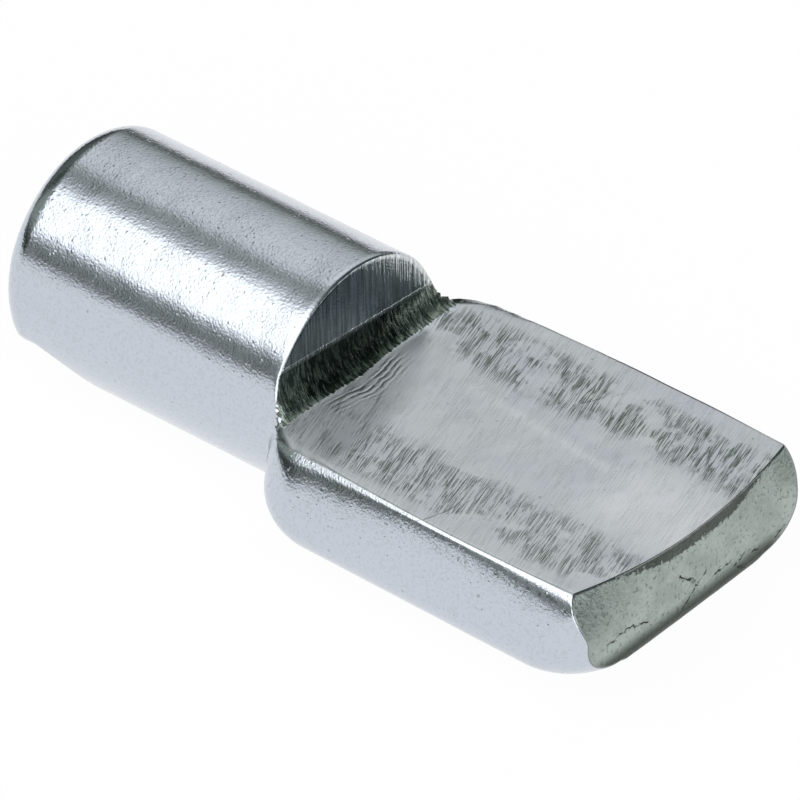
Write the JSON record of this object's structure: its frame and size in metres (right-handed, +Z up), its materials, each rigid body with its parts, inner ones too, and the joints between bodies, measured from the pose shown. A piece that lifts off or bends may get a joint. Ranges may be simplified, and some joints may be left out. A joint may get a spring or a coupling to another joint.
{
  "type": "shelf support pin",
  "caption": "Round steel peg that steps down to a flat rounded blade; the peg plugs into a drilled cabinet side and the blade carries a shelf.",
  "frame": {"origin": "on the peg's axis, where the peg's round wall ends and the shoulders and the step begin", "axes": "+X along the peg towards the blade's tip, +Z up out of the blade's top face, +Y across the blade"},
  "size_m": [0.0155, 0.0072, 0.005],
  "materials": {
    "zinc_steel": "bright zinc plating over cold-formed steel, with fine pebbling on the peg and press scratches on the blade"
  },
  "bodies": {
    "root": {"shelf_pin": "zinc_steel"}
  },
  "joints": []
}
